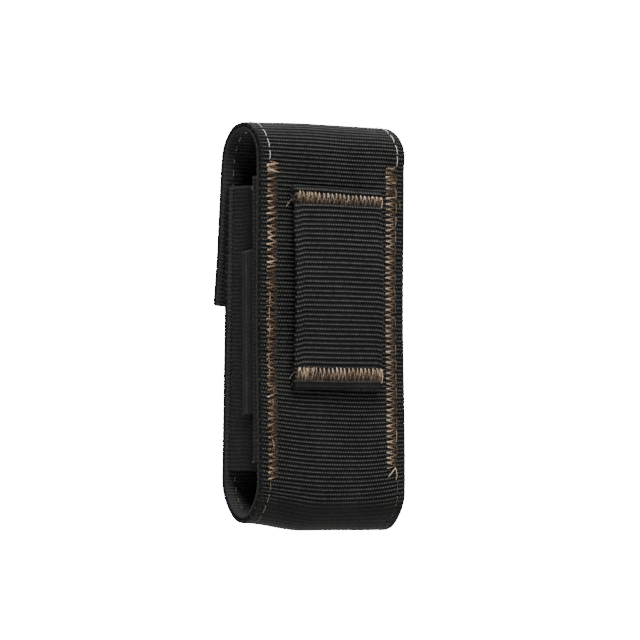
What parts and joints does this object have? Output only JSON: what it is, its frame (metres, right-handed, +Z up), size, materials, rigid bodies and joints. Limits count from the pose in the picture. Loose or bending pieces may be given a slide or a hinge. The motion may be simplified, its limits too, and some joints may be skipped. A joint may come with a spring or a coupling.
{
  "type": "multi-tool belt sheath",
  "caption": "Ribbed webbing belt sheath for a folding tool: strap folded round a pocket into a front flap, elastic sides, belt loop on the back.",
  "frame": {"origin": "centre of the belt passage, midway between the belt loop and the back panel", "axes": "+Z up towards the arched top, +Y out of the back through the belt loop, +X along the belt; the flap is on the -Y side"},
  "size_m": [0.0502, 0.0274, 0.1171],
  "materials": {
    "webbing": "ribbed black nylon webbing",
    "lining": "ribbed black nylon lining",
    "elastic": "fine ribbed black elastic",
    "zigzag_thread": "brown bonded polyester thread",
    "run_thread": "tan bonded thread",
    "snap_black": "black enamel",
    "snap_brass": "antiqued"
  },
  "bodies": {
    "sheath": {"outer_webbing": "webbing", "lining_webbing": "lining", "left_gusset": "elastic", "right_gusset": "elastic", "left_side_loop": "elastic", "right_side_loop": "elastic", "belt_loop": "webbing", "belt_loop_top_bartack": "zigzag_thread", "belt_loop_bottom_bartack": "zigzag_thread", "left_back_seam": "zigzag_thread", "right_back_seam": "zigzag_thread", "left_front_seam": "zigzag_thread", "right_front_seam": "zigzag_thread", "left_bottom_stitch": "run_thread", "right_bottom_stitch": "run_thread", "mouth_stitch": "run_thread", "snap_post": "snap_black", "snap_stud": "snap_brass"},
    "flap_crown": {"crown_webbing": "webbing", "crown_lining": "lining", "left_crown_stitch": "run_thread", "right_crown_stitch": "run_thread"},
    "flap_front": {"flap_webbing": "webbing", "flap_lining": "lining", "left_flap_stitch": "run_thread", "right_flap_stitch": "run_thread", "flap_end_stitch": "run_thread", "snap_cap": "snap_black", "snap_socket": "snap_brass"}
  },
  "joints": [
    {"name": "flap_lift", "type": "hinge", "parent": "sheath", "child": "flap_crown", "pos_m": [0, -0.0018, 0.0369], "axis": [-1, 0, 0], "range_deg": [0, 100]},
    {"name": "flap_unbend", "type": "hinge", "parent": "flap_crown", "child": "flap_front", "pos_m": [0, -0.02002, 0.03401], "axis": [-1, 0, 0], "range_deg": [0, 80]}
  ],
  "couplings": [
    {"joint": "flap_unbend", "follows": "flap_lift", "ratio": 0.8}
  ]
}
